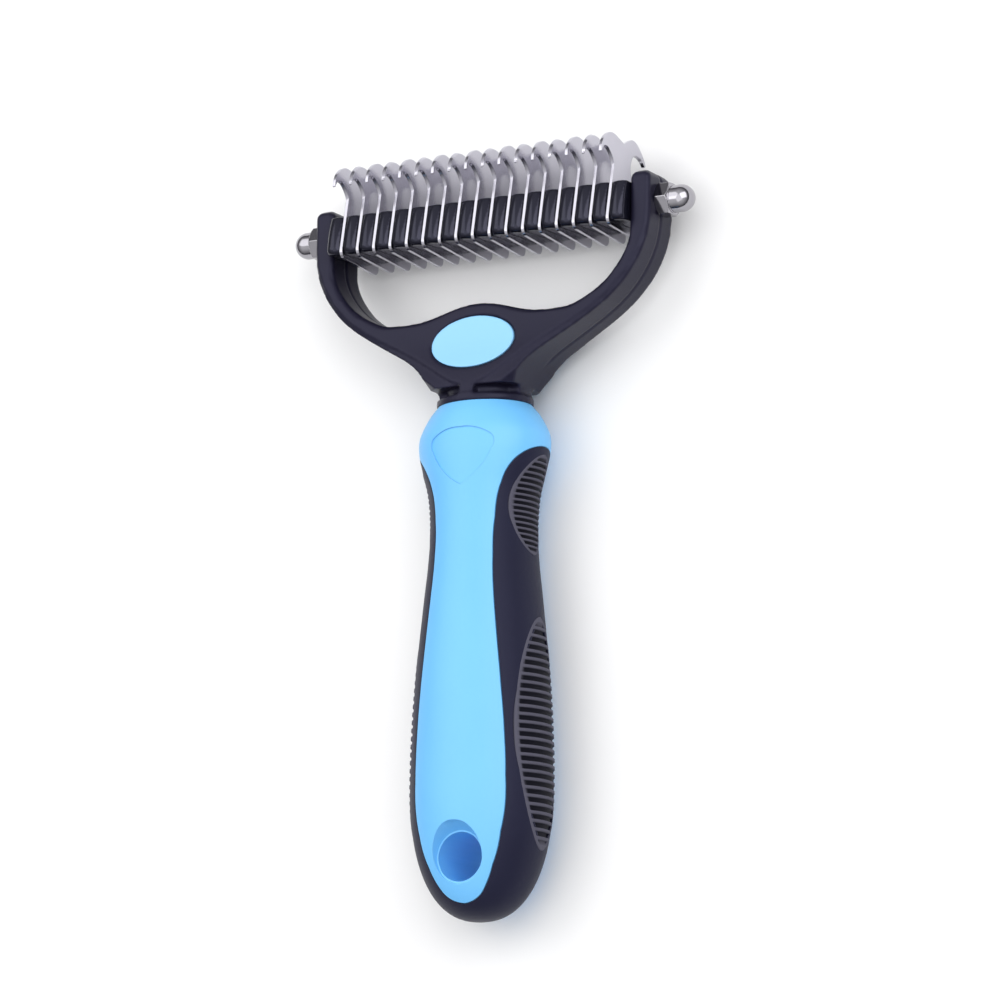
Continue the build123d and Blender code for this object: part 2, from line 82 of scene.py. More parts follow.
COPY_WELD = 0.000002  # metres, before a remesh
SLICE_WELD = 0.000001  # metres, before slicing
SLICE_TOLERANCE = 1e-7  # metres, for a point that lies on a slice's plane
SHARP_ANGLE = math.radians(38)

# A groove of a pad: place in pitches from its middle, and share of its full depth.
GROOVE_PROFILE = (
    (-0.34, 0.0), (-0.30, 0.3), (-0.26, 0.9), (-0.2, 1.0),
    (0.2, 1.0), (0.26, 0.9), (0.30, 0.3), (0.34, 0.0), (0.5, 0.0),
)


class Side(Enum):
    """The two sides of the comb, along X."""

    LEFT = -1
    RIGHT = 1


# ---------------------------------------------------------------- shader node groups


def new_group(name: str, inputs: dict[str, float], outputs: list[str]) -> Tree:
    """Make an empty shader group with float sockets.

    Args:
        name: The group's name.
        inputs: Input socket names and their default values.
        outputs: Output socket names.

    Returns:
        The node tree, holding only its input and output nodes.
    """
    tree = bpy.data.node_groups.new(name, "ShaderNodeTree")
    kind = "NodeSocketFloat"
    for label, value in inputs.items():
        socket = tree.interface.new_socket(name=label, in_out="INPUT", socket_type=kind)
        socket.default_value = value
    for label in outputs:
        tree.interface.new_socket(name=label, in_out="OUTPUT", socket_type=kind)
    tree.nodes.new("NodeGroupInput")
    tree.nodes.new("NodeGroupOutput")
    return tree


def group_ends(tree: Tree) -> tuple[Node, Node]:
    """The input and output nodes of a group."""
    return tree.nodes["Group Input"], tree.nodes["Group Output"]


def math_node(
    tree: Tree, operation: str, first: float | Socket, second: float | Socket
) -> Socket:
    """Add a Math node.

    Args:
        tree: The tree to add to.
        operation: Math operation name.
        first: A socket or a number.
        second: A socket or a number.

    Returns:
        The node's output socket.
    """
    node = tree.nodes.new("ShaderNodeMath")
    node.operation = operation
    for index, value in enumerate((first, second)):
        if isinstance(value, Socket):
            tree.links.new(value, node.inputs[index])
        else:
            node.inputs[index].default_value = float(value)
    return node.outputs[0]


def grain_group() -> Tree:
    """Moulded grain: a fine height and a slow unevenness, both about one half.

    Returns:
        The group, with inputs Scale and Slow Scale and outputs Height and Mottle.
    """
    tree = bpy.data.node_groups.get("moulded_grain")
    if tree:
        return tree
    inputs = {"Scale": 2500.0, "Slow Scale": 60.0}
    tree = new_group("moulded_grain", inputs, ["Height", "Mottle"])
    source, sink = group_ends(tree)
    place = tree.nodes.new("ShaderNodeTexCoord")
    for size, rough, target in (("Scale", 0.65, "Height"), ("Slow Scale", 0.5, "Mottle")):
        noise = tree.nodes.new("ShaderNodeTexNoise")
        noise.inputs["Detail"].default_value = GRAIN_DETAIL
        noise.inputs["Roughness"].default_value = rough
        tree.links.new(place.outputs["Object"], noise.inputs["Vector"])
        tree.links.new(source.outputs[size], noise.inputs["Scale"])
        tree.links.new(noise.outputs["Fac"], sink.inputs[target])
    return tree


def brushed_group() -> Tree:
    """Fine grinding marks drawn out along the blades.

    Returns:
        The group, with input Scale and outputs Marks and Haze.
    """
    tree = bpy.data.node_groups.get("grinding_marks")
    if tree:
        return tree
    tree = new_group("grinding_marks", {"Scale": 9000.0}, ["Marks", "Haze"])
    source, sink = group_ends(tree)
    place = tree.nodes.new("ShaderNodeTexCoord")
    stretch = tree.nodes.new("ShaderNodeMapping")
    stretch.inputs["Scale"].default_value = GRIND_LAY
    tree.links.new(place.outputs["Object"], stretch.inputs["Vector"])
    marks = tree.nodes.new("ShaderNodeTexNoise")
    marks.inputs["Detail"].default_value = MARK_DETAIL
    tree.links.new(stretch.outputs["Vector"], marks.inputs["Vector"])
    tree.links.new(source.outputs["Scale"], marks.inputs["Scale"])
    tree.links.new(marks.outputs["Fac"], sink.inputs["Marks"])
    haze = tree.nodes.new("ShaderNodeTexNoise")
    haze.inputs["Scale"].default_value = HAZE_SCALE
    tree.links.new(place.outputs["Object"], haze.inputs["Vector"])
    tree.links.new(haze.outputs["Fac"], sink.inputs["Haze"])
    return tree


def edge_group() -> Tree:
    """Sharp edges, where a slightly rounded normal leaves the surface's own: a mask for a
    painted highlight along them, and the rounded normal.

    Returns:
        The group, with inputs Radius and Amount and outputs Mask and Rounded.
    """
    tree = bpy.data.node_groups.get("rubbed_edges")
    if tree:
        return tree
    tree = new_group("rubbed_edges", {"Radius": 0.0003, "Amount": 2.5}, ["Mask"])
    tree.interface.new_socket(name="Rounded", in_out="OUTPUT", socket_type="NodeSocketVector")
    source, sink = group_ends(tree)
    shape = tree.nodes.new("ShaderNodeNewGeometry")
    rounded = tree.nodes.new("ShaderNodeBevel")
    rounded.samples = EDGE_SAMPLES
    tree.links.new(source.outputs["Radius"], rounded.inputs["Radius"])
    likeness = tree.nodes.new("ShaderNodeVectorMath")
    likeness.operation = "DOT_PRODUCT"
    tree.links.new(rounded.outputs["Normal"], likeness.inputs[0])
    tree.links.new(shape.outputs["Normal"], likeness.inputs[1])
    away = math_node(tree, "SUBTRACT", 1.0, likeness.outputs["Value"])
    strong = math_node(tree, "MULTIPLY", away, source.outputs["Amount"])
    tree.links.new(math_node(tree, "MINIMUM", strong, 1.0), sink.inputs["Mask"])
    tree.links.new(rounded.outputs["Normal"], sink.inputs["Rounded"])
    return tree


# ---------------------------------------------------------------- finishes


@dataclass(frozen=True)
class Finish:
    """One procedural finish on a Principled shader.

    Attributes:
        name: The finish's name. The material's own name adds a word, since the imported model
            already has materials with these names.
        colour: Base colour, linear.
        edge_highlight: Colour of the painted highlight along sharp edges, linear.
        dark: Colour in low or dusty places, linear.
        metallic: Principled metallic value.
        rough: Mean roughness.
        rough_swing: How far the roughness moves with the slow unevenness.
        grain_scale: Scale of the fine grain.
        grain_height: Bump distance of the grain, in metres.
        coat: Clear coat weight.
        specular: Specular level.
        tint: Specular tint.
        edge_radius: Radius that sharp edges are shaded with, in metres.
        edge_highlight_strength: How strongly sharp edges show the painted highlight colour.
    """

    name: str
    colour: Colour
    edge_highlight: Colour
    dark: Colour
    metallic: float = 0.0
    rough: float = 0.4
    rough_swing: float = 0.1
    grain_scale: float = 2500.0
    grain_height: float = 0.00002
    coat: float = 0.0
    specular: float = 0.5
    tint: Colour = (1.0, 1.0, 1.0)
    edge_radius: float = 0.00025
    edge_highlight_strength: float = 1.5

    def material(self) -> bpy.types.Material:
        """Build the material once and hand it back after that.

        Returns:
            The finished material.
        """
        title = f"{self.name}_finish"
        made = bpy.data.materials.get(title)
        if made:
            return made
        made = bpy.data.materials.new(title)
        made.use_nodes = True
        made.diffuse_color = (*self.colour, 1.0)
        tree = made.node_tree
        shader = tree.nodes["Principled BSDF"]
        shader.inputs["Metallic"].default_value = self.metallic
        shader.inputs["Coat Weight"].default_value = self.coat
        shader.inputs["Coat Roughness"].default_value = COAT_ROUGHNESS
        shader.inputs["Specular IOR Level"].default_value = self.specular
        shader.inputs["Specular Tint"].default_value = (*self.tint, 1.0)
        mottle, height = self.texture(tree)
        # mask of sharp edges, along which a lighter colour paints a highlight
        edges = tree.nodes.new("ShaderNodeGroup")
        edges.node_tree = edge_group()
        edges.inputs["Radius"].default_value = self.edge_radius
        edges.inputs["Amount"].default_value = self.edge_highlight_strength
        self.join_colour(tree, shader, mottle, edges.outputs["Mask"])
        self.join_roughness(tree, shader, mottle)
        self.join_bump(tree, shader, height, edges.outputs["Rounded"])
        return made

    def texture(self, tree: Tree) -> tuple[Socket, Socket]:
        """Add the pattern of this finish.

        Args:
            tree: The material's tree.

        Returns:
            The slow unevenness and the fine height.
        """
        grain = tree.nodes.new("ShaderNodeGroup")
        grain.node_tree = grain_group()
        grain.inputs["Scale"].default_value = self.grain_scale
        return grain.outputs["Mottle"], grain.outputs["Height"]

    def join_colour(self, tree: Tree, shader: Node, mottle: Socket, edge: Socket) -> None:
        """Mix the three colours and join them to the shader.

        Args:
            tree: The material's tree.
            shader: The Principled shader.
            mottle: The slow unevenness.
            edge: Mask of the sharp edges, where a highlight is painted.
        """
        base = self.mix(tree, mottle, self.dark, self.colour)
        # painted highlight: the lighter edge colour laid along sharp edges
        out = self.mix(tree, edge, base, self.edge_highlight)
        tree.links.new(out, shader.inputs["Base Color"])

    @staticmethod
    def mix(tree: Tree, factor: Socket, low: Colour | Socket, high: Colour | Socket) -> Socket:
        """Mix two colours.

        Args:
            tree: The material's tree.
            factor: Socket that picks between the two.
            low: Colour or socket at factor 0.
            high: Colour or socket at factor 1.

        Returns:
            The mixed colour's socket.
        """
        node = tree.nodes.new("ShaderNodeMix")
        node.data_type = "RGBA"
        tree.links.new(factor, node.inputs["Factor"])
        for label, value in (("A", low), ("B", high)):
            target = [s for s in node.inputs if s.name == label and s.type == "RGBA"][0]
            if isinstance(value, Socket):
                tree.links.new(value, target)
            else:
                target.default_value = (*value, 1.0)
        return [s for s in node.outputs if s.type == "RGBA"][0]

    def join_roughness(self, tree: Tree, shader: Node, mottle: Socket) -> None:
        """Let the roughness drift with the slow unevenness.

        Args:
            tree: The material's tree.
            shader: The Principled shader.
            mottle: The slow unevenness.
        """
        spread = tree.nodes.new("ShaderNodeMapRange")
        lowest = max(self.rough - self.rough_swing, LEAST_ROUGHNESS)
        spread.inputs["To Min"].default_value = lowest
        spread.inputs["To Max"].default_value = self.rough + self.rough_swing
        tree.links.new(mottle, spread.inputs["Value"])
        tree.links.new(spread.outputs["Result"], shader.inputs["Roughness"])

    def join_bump(self, tree: Tree, shader: Node, height: Socket, rounded: Socket) -> None:
        """Raise the fine grain as a bump on the rounded normal.

        Args:
            tree: The material's tree.
            shader: The Principled shader.
            height: The fine height.
            rounded: The normal of the rounded edges.
        """
        bump = tree.nodes.new("ShaderNodeBump")
        bump.inputs["Distance"].default_value = self.grain_height
        bump.inputs["Strength"].default_value = 1.0
        tree.links.new(height, bump.inputs["Height"])
        tree.links.new(rounded, bump.inputs["Normal"])
        tree.links.new(bump.outputs["Normal"], shader.inputs["Normal"])


@dataclass(frozen=True)
class SteelFinish(Finish):
    """Ground and polished steel with marks along the blade."""

    def texture(self, tree: Tree) -> tuple[Socket, Socket]:
        """Add haze and grinding marks in place of a moulded grain.

        Args:
            tree: The material's tree.

        Returns:
            The haze and the marks.
        """
        marks = tree.nodes.new("ShaderNodeGroup")
        marks.node_tree = brushed_group()
        marks.inputs["Scale"].default_value = self.grain_scale
        return marks.outputs["Haze"], marks.outputs["Marks"]


@dataclass(frozen=True)
class RibbedFinish(Finish):
    """Soft pad with painted shade in its grooves, which come out darker than its ribs by a mask
    that the mesh carries.
    """

    # painted shade: the dark colour put into the grooves in place of the shade that falls in
    # them
    groove: Colour = (0.006, 0.006, 0.010)

    def join_colour(self, tree: Tree, shader: Node, mottle: Socket, edge: Socket) -> None:
        """Join the mottled colour, with painted shade in the grooves and no painted edge
        highlight.

        Args:
            tree: The material's tree.
            shader: The Principled shader.
            mottle: The slow unevenness.
            edge: Mask of the sharp edges for the painted edge highlight, which a soft pad does
                not show.
        """
        # the mesh's mask of its grooves, along which shade is painted
        mask = tree.nodes.new("ShaderNodeAttribute")
        mask.attribute_name = "groove"
        base = self.mix(tree, mottle, self.dark, self.colour)
        out = self.mix(tree, mask.outputs["Fac"], base, self.groove)
        tree.links.new(out, shader.inputs["Base Color"])


COOL = (0.74, 0.74, 1.0)  # cool tint of the dark plastics' reflections

# The second colour of each finish is a painted highlight along its sharp edges; the pad does not
# use it, and the floor paper's is its own colour.
FORK = Finish(
    "fork_plastic", (0.0125, 0.0115, 0.027), (0.05, 0.048, 0.085), (0.009, 0.0082, 0.018),
    rough=0.33, rough_swing=0.07, grain_scale=3500.0, grain_height=0.00003,
    specular=0.26, tint=COOL, edge_radius=0.0006, edge_highlight_strength=2.5,
)
BADGE = Finish(
    "badge_plastic", (0.27, 0.60, 0.93), (0.62, 0.9, 1.0), (0.25, 0.57, 0.91),
    rough=0.35, grain_height=0.000008, coat=0.15,
)
BLADE = SteelFinish(
    "blade_steel", (0.56, 0.55, 0.61), (0.93, 0.93, 0.97), (0.49, 0.48, 0.54),
    metallic=1.0, rough=0.19, rough_swing=0.05, grain_scale=9000.0, grain_height=0.000004,
    edge_radius=0.00012,
)
ROD = SteelFinish(
    "rod_steel", (0.5, 0.5, 0.52), (0.8, 0.8, 0.8), (0.45, 0.45, 0.47),
    metallic=1.0, rough=0.3, grain_scale=6000.0, grain_height=0.000004,
)
NUT = SteelFinish(
    "nut_chrome", (0.42, 0.41, 0.44), (0.85, 0.85, 0.88), (0.34, 0.33, 0.36),
    metallic=1.0, rough=0.1, rough_swing=0.03, grain_scale=5000.0, grain_height=0.000002,
)
SPACER = Finish(
    "spacer_plastic", (0.006, 0.0062, 0.012), (0.03, 0.032, 0.05), (0.004, 0.004, 0.008),
    rough=0.16, rough_swing=0.04, grain_height=0.000006, specular=0.5, tint=COOL,
)
CORE = Finish(
    "core_plastic", (0.175, 0.55, 0.96), (0.36, 0.76, 1.0), (0.15, 0.50, 0.93),
    rough=0.4, rough_swing=0.06, grain_scale=1800.0, grain_height=0.000006, edge_highlight_strength=0.8,
)
GRIP = Finish(
    "grip_rubber", (0.0115, 0.0125, 0.032), (0.03, 0.031, 0.06), (0.009, 0.0095, 0.025),
    rough=0.5, rough_swing=0.07, grain_scale=3000.0, grain_height=0.000022,
    specular=0.26, tint=COOL,
)
# The pad's last colour is painted shade for its grooves.
PAD = RibbedFinish(
    "pad_rubber", (0.095, 0.093, 0.125), (0.15, 0.15, 0.19), (0.08, 0.078, 0.105),
    rough=0.6, grain_scale=3200.0, grain_height=0.00002,
    specular=0.15, tint=COOL, groove=(0.003, 0.003, 0.006),
)
PAPER = Finish(
    "floor_paper", (0.93, 0.93, 0.93), (0.93, 0.93, 0.93), (0.91, 0.91, 0.91), rough=0.9,
)


def dress(piece: bpy.types.Object, finish: Finish) -> None:
    """Give a piece one finish over its whole surface.

    Args:
        piece: The object to dress.
        finish: Its finish.
    """
    if not piece.material_slots:
        piece.data.materials.append(finish.material())
    for place in piece.material_slots:
        place.material = finish.material()


# ---------------------------------------------------------------- mesh helpers


def bake(piece: bpy.types.Object) -> None:
    """Apply all of a piece's modifiers.

    Args:
        piece: The object whose mesh takes them on.
    """
    bpy.context.view_layer.update()
    ready = piece.evaluated_get(bpy.context.evaluated_depsgraph_get())
    mesh = bpy.data.meshes.new_from_object(ready)
    piece.modifiers.clear()
    piece.data = mesh


def link_mesh(name: str, mesh: bpy.types.Mesh) -> bpy.types.Object:
    """Put a mesh in the scene as a new object.

    Args:
        name: The object's name.
        mesh: Its mesh.

    Returns:
        The new object.
    """
    piece = bpy.data.objects.new(name, mesh)
    bpy.context.scene.collection.objects.link(piece)
    return piece


def smooth_step(value: np.ndarray, low: float, high: float) -> np.ndarray:
    """Smooth rise from 0 at low to 1 at high."""
    share = np.clip((value - low) / (high - low), 0.0, 1.0)
    return share * share * (3.0 - 2.0 * share)


def smooth_curve(stations: list[tuple[float, float]], places: np.ndarray) -> np.ndarray:
    """Cubic curve through stations, level at the first and with its neighbours' slope elsewhere.

    Args:
        stations: (place, value) pairs in rising order of place.
        places: Where to read the curve.

    Returns:
        The curve's values.
    """
    x = np.array([s[0] for s in stations])
    y = np.array([s[1] for s in stations])
    slope = np.gradient(y, x)
    slope[0] = 0.0
    index = np.clip(np.searchsorted(x, places) - 1, 0, len(x) - 2)
    width = x[index + 1] - x[index]
    t = np.clip((places - x[index]) / width, 0.0, 1.0)
    rise = t * t * (3 - 2 * t)
    lead = t * (1 - t) ** 2
    trail = t * t * (t - 1)
    return (
        y[index] * (1 - rise) + y[index + 1] * rise
        + width * (lead * slope[index] + trail * slope[index + 1])
    )


# ---------------------------------------------------------------- copies of solid nodes


@dataclass(frozen=True)
class SoftEdges:
    """How a copy of a solid node gets its moulded, rounded edges.

    Attributes:
        voxel: Size of the remesh cells, in metres.
        rounds: How many times the remeshed surface is relaxed.
        strength: How far each relaxing moves a point towards its neighbours.
    """

    voxel: float
    rounds: int
    strength: float = 0.5

    def copy(self, node: str, name: str, shape: Shaper) -> bpy.types.Object:
        """Copy a node's mesh, remesh it, relax its edges and move its points.

        Args:
            node: Name of the solid node.
            name: Name of the new piece.
            shape: Moves the remeshed points, from an array of places to an array of places.

        Returns:
            The new piece, with no modifiers left on it.
        """
        piece = link_mesh(name, bpy.data.objects[node].data.copy())
        weld = piece.modifiers.new("weld", "WELD")
        weld.merge_threshold = COPY_WELD
        remesh = piece.modifiers.new("remesh", "REMESH")
        remesh.mode = "VOXEL"
        remesh.voxel_size = self.voxel
        remesh.use_smooth_shade = True
        relax = piece.modifiers.new("relax", "SMOOTH")
        relax.factor = self.strength
        relax.iterations = self.rounds
        bake(piece)
        piece.data.shade_smooth()
        move_points(piece, shape)
        return piece


def move_points(piece: bpy.types.Object, shape: Shaper) -> None:
    """Move a piece's points by a function of their places.

    Args:
        piece: The object to change.
        shape: From an array of places to an array of places.
    """
    points = np.empty(len(piece.data.vertices) * 3)
    piece.data.vertices.foreach_get("co", points)
    moved = shape(points.reshape(-1, 3))
    piece.data.vertices.foreach_set("co", moved.ravel())
    piece.data.update()


def sliced_copy(node: str, name: str, spacing: float, shape: Shaper) -> bpy.types.Object:
    """Copy a node's mesh with its crisp edges, cut it into slices along Y and move its points.

    Args:
        node: Name of the solid node.
        name: Name of the new piece.
        spacing: Thickness of the slices, in metres.
        shape: Moves the sliced points, from an array of places to an array of places.

    Returns:
        The new piece, smooth but for its sharp edges.
    """
    low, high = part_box(node)
    shell = bmesh.new()
    shell.from_mesh(bpy.data.objects[node].data)
    bmesh.ops.remove_doubles(shell, verts=shell.verts[:], dist=SLICE_WELD)
    for place in np.arange(low.y + spacing, high.y, spacing):
        whole = shell.verts[:] + shell.edges[:] + shell.faces[:]
        bmesh.ops.bisect_plane(
            shell, geom=whole, dist=SLICE_TOLERANCE, plane_co=(0, place, 0), plane_no=(0, 1, 0)
        )
    mesh = bpy.data.meshes.new(name)
    shell.to_mesh(mesh)
    shell.free()
    if "custom_normal" in mesh.attributes:
        mesh.attributes.remove(mesh.attributes["custom_normal"])
    piece = link_mesh(name, mesh)
    move_points(piece, shape)
    mesh.shade_smooth()
    mesh.set_sharp_from_angle(angle=SHARP_ANGLE)
    return piece


def keep(piece: bpy.types.Object, finish: Finish, *nodes: str) -> None:
    """Dress a new piece, ride it on the body and hide the solid nodes that it stands for.

    Args:
        piece: The new object.
        finish: Its finish, which gives the piece its material.
        nodes: Names of the solid nodes it stands for.
    """
    dress(piece, finish)
    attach(piece, "root")
    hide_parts(*nodes)
    LOG.info("%s: %d faces", piece.name, len(piece.data.polygons))


# ---------------------------------------------------------------- handle


@dataclass
class HandleShape:
    """Smooth outer surface of the handle, in millimetres from its end.

    Attributes:
        end_y: Y of the handle's end, in metres.
        axis_z: Height of the handle's axis, in metres.
        bulge: Distance of the widest place from the end.
        bulge_width: Half width there.
        bulge_depth: Half depth there.
        squareness: Exponent of the rounded end.
        stations: (distance, half width, half depth) from the bulge up to the collar.
        end_angles: Angles at which the solid model has its sections round the end, in degrees.
        skin: Shares of the section's radius between which a point comes to count as outer.
        scale_limits: Least and greatest scaling of a point.
        side_limit: Greatest share of the half depth at which a side place is read.
    """

    end_y: float
    axis_z: float
    bulge: float = 31.0
    bulge_width: float = 16.7
    bulge_depth: float = 13.4
    squareness: float = 2.35
    stations: list[tuple[float, float, float]] = field(
        default_factory=lambda: [
            (31.0, 16.7, 13.4), (40.0, 16.5, 13.35), (50.0, 15.9, 13.2), (60.0, 15.0, 12.8),
            (72.0, 13.7, 12.1), (81.0, 12.7, 11.4), (89.0, 12.3, 11.1), (97.0, 13.2, 11.3),
            (102.0, 14.7, 11.75), (106.0, 15.6, 11.95), (109.0, 15.5, 11.8), (112.0, 14.1, 11.1),
            (114.0, 12.8, 10.4), (116.0, 11.0, 9.4),
        ]
    )
    end_angles: tuple[int, ...] = (4, 10, 18, 28, 40, 54, 70, 90)
    skin: tuple[float, float] = (0.82, 0.95)
    scale_limits: tuple[float, float] = (0.9, 1.12)
    side_limit: float = 0.999

    def smooth(self, distance: np.ndarray) -> tuple[np.ndarray, np.ndarray]:
        """Half width and half depth of the smooth surface.

        Args:
            distance: Distances from the end, in millimetres.

        Returns:
            Half widths and half depths, in millimetres.
        """
        left = np.clip(1 - distance / self.bulge, 0, 1)
        share = (1 - left**self.squareness) ** (1 / self.squareness)
        width = smooth_curve([(s[0], s[1]) for s in self.stations], distance)
        depth = smooth_curve([(s[0], s[2]) for s in self.stations], distance)
        past = distance >= self.bulge
        return (
            np.where(past, width, self.bulge_width * share),
            np.where(past, depth, self.bulge_depth * share),
        )

    def ruled(self, distance: np.ndarray) -> tuple[np.ndarray, np.ndarray]:
        """Half width and half depth of the solid model, which runs straight between sections.

        Args:
            distance: Distances from the end, in millimetres.

        Returns:
            Half widths and half depths, in millimetres.
        """
        power = 2 / self.squareness
        rows = []
        for degrees in self.end_angles:
            angle = math.radians(degrees)
            share = math.sin(angle) ** power
            place = self.bulge * (1 - math.cos(angle) ** power)
            rows.append((place, self.bulge_width * share, self.bulge_depth * share))
        rows += self.stations[1:]
        places, widths, depths = (np.array(column) for column in zip(*rows))
        return np.interp(distance, places, widths), np.interp(distance, places, depths)

    def round_out(self, points: np.ndarray) -> np.ndarray:
        """Scale points of the solid model out to the smooth surface, section by section.

        Args:
            points: Places in metres, one row each.

        Returns:
            The moved places. Points well inside, such as a bore's wall, stay.
        """
        distance = (points[:, 1] - self.end_y) / MM
        width, depth = self.smooth(distance)
        flat_width, flat_depth = self.ruled(distance)
        across, lift = points[:, 0] / MM, (points[:, 2] - self.axis_z) / MM
        outer = smooth_step(np.hypot(across / flat_width, lift / flat_depth), *self.skin)
        moved = points.copy()
        moved[:, 0] *= 1 + (np.clip(width / flat_width, *self.scale_limits) - 1) * outer
        moved[:, 2] += lift * MM * (np.clip(depth / flat_depth, *self.scale_limits) - 1) * outer
        return moved

    def surface(
        self, distance: np.ndarray, height: np.ndarray, side: int, push: np.ndarray
    ) -> np.ndarray:
        """Places on one side of the handle.

        Args:
            distance: Distances from the end, in millimetres.
            height: Heights above the handle's axis, in millimetres.
            side: +1 or -1 along X.
            push: How far each place is moved outward, in millimetres.

        Returns:
            Places in metres, one row each.
        """
        width, depth = self.smooth(distance)
        lift = np.clip(height / depth, -self.side_limit, self.side_limit)
        along = np.sqrt(1 - lift**2)
        normal_x, normal_z = along / width, lift / depth
        length = np.hypot(normal_x, normal_z)
        x = width * along + push * normal_x / length
        z = height + push * normal_z / length
        y = self.end_y + distance * MM
        return np.stack([side * x * MM, y, self.axis_z + z * MM], axis=-1)


@dataclass
class RibbedPad:
    """Lens-shaped soft pad with cross grooves, let into the grip's side.

    Attributes:
        node: Name of the solid node it stands for.
        side: Side of the handle.
        first: Distance of its lower tip from the handle's end, in millimetres.
        last: Distance of its upper tip.
        half_height: Half height of the lens.
        grooves: How many grooves it has.
        depth: Depth of the grooves.
        proud: How far the ribs stand above the grip.
        root: How far the pad's underside lies below the grip's surface.
        columns: Points across its face.
        fullness: Power of the outline's distance from its middle.
        bluntness: Exponent of its outline; less makes the tips rounder.
        least_half: Half height that its tips end with.
        edge_power: How late its face falls off towards the edge; more keeps it flat longer.
        edge_drop: How far the face's edge lies below the grip.
        rim: Width of the plain border round the grooves.
        rim_blend: Width over which a groove comes up to the border.
        tip_fade: Shares of the half length, from a tip, over which the grooves gain their depth.
    """

    node: str
    side: Side
    first: float
    last: float
    half_height: float
    grooves: int
    depth: float = 0.55
    proud: float = 0.16
    root: float = 1.1
    columns: int = 30
    fullness: float = 2.1
    bluntness: float = 0.58
    least_half: float = 0.02
    edge_power: int = 10
    edge_drop: float = 0.22
    rim: float = 0.85
    rim_blend: float = 0.35
    tip_fade: tuple[float, float] = (0.02, 0.14)

    def rows(self) -> tuple[np.ndarray, np.ndarray]:
        """Lay out the rows of points along the pad.

        Returns:
            Distances of the rows, and how deep each lies in a groove from 0 to 1.
        """
        pitch = (self.last - self.first) / (self.grooves + 1)
        tip = (0.0, 0.04, 0.25 * pitch)
        places, share = [self.first + step for step in tip], [0.0] * len(tip)
        for index in range(1, self.grooves + 1):
            for offset, low in GROOVE_PROFILE:
                places.append(self.first + (index + offset) * pitch)
                share.append(low)
        places += [self.last - step for step in reversed(tip)]
        share += [0.0] * len(tip)
        return np.array(places), np.array(share)

    def build(self, shape: HandleShape) -> None:
        """Build the pad as a closed tube of rows, with real grooves.

        Args:
            shape: The handle's surface, which the pad follows.
        """
        places, share = self.rows()
        middle, half_length = (self.first + self.last) / 2, (self.last - self.first) / 2
        along = np.abs(places - middle) / half_length
        outline = self.half_height * (1 - along**self.fullness) ** self.bluntness
        reach = np.clip(outline, self.least_half, None)
        across = np.sin(np.linspace(-1, 1, self.columns) * math.pi / 2)
        edge = np.sqrt(np.clip(1 - np.abs(across) ** self.edge_power, 0, 1))
        top = self.proud * edge - self.edge_drop * (1 - edge)
        root = np.full(self.columns, -self.root)
        side = self.side.value
        points, groove = [], []
        fades = smooth_step(1 - along, *self.tip_fade)
        for place, low, half, fade in zip(places, share, reach, fades):
            inside = half * (1 - np.abs(across))
            cut = low * fade * smooth_step(inside, self.rim, self.rim + self.rim_blend)
            row = np.full(self.columns, place)
            face = shape.surface(row, across * half, side, top - self.depth * cut)
            under = shape.surface(row, across[::-1] * half, side, root)
            points += [face, under]
            groove += [cut, np.zeros(self.columns)]
        mesh = bpy.data.meshes.new(f"{self.node}_ribbed")
        mesh.from_pydata(np.concatenate(points).tolist(), [], self.faces(len(places)))
        # the grooves' mask, which the pad's material reads to paint shade into them
        mask = mesh.attributes.new("groove", "FLOAT", "POINT")
        mask.data.foreach_set("value", np.concatenate(groove))
        mesh.shade_smooth()
        piece = link_mesh(f"{self.node}_ribbed", mesh)
        fill_ends(piece)
        keep(piece, PAD, self.node)

    def faces(self, rows: int) -> list[tuple[int, ...]]:
        """Quads between the rows of the tube.

        Args:
            rows: How many rows of points the tube has.

        Returns:
            Indices of each quad's points.
        """
        loop = 2 * self.columns
        faces = []
        for start in range(0, (rows - 1) * loop, loop):
            for column in range(loop):
                after = (column + 1) % loop
                quad = (
                    start + column, start + loop + column, start + loop + after, start + after,
                )
                faces.append(quad[::-1] if self.side is Side.LEFT else quad)
        return faces


def fill_ends(piece: bpy.types.Object) -> None:
    """Close the open ends of a tube and turn all its faces outward.

    Args:
        piece: The tube.
    """
    shell = bmesh.new()
    shell.from_mesh(piece.data)
    bmesh.ops.holes_fill(shell, edges=[e for e in shell.edges if e.is_boundary], sides=0)
    bmesh.ops.recalc_face_normals(shell, faces=shell.faces)
    shell.to_mesh(piece.data)
    shell.free()


@dataclass
class Handle:
    """Hard blue core, dark soft grip round it, and four ribbed pads.

    Attributes:
        slice_length: Thickness of the slices that carry the smooth outline, in metres.
        rod_from_end: Distance of the rod's axis from the handle's end, in metres.
    """

    slice_length: float = 0.0009
    rod_from_end: float = 0.1595

    def build(self) -> None:
        """Build the core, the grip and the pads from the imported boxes."""
        low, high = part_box("handle_core")
        rod_low, rod_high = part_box("blade_rod")
        end = (rod_low.y + rod_high.y) / 2 - self.rod_from_end
        shape = HandleShape(end_y=end, axis_z=(low.z + high.z) / 2)
        for node, finish in (("handle_core", CORE), ("grip_overmold", GRIP)):
            name = f"{node}_moulded"
            keep(sliced_copy(node, name, self.slice_length, shape.round_out), finish, node)
        for side in Side:
            word = side.name.lower()
            RibbedPad(f"grip_pad_upper_{word}", side, 81.3, 103.9, 6.8, grooves=17).build(shape)
            RibbedPad(f"grip_pad_lower_{word}", side, 14.9, 67.2, 8.5, grooves=28).build(shape)


# ---------------------------------------------------------------- fork, badges, blades


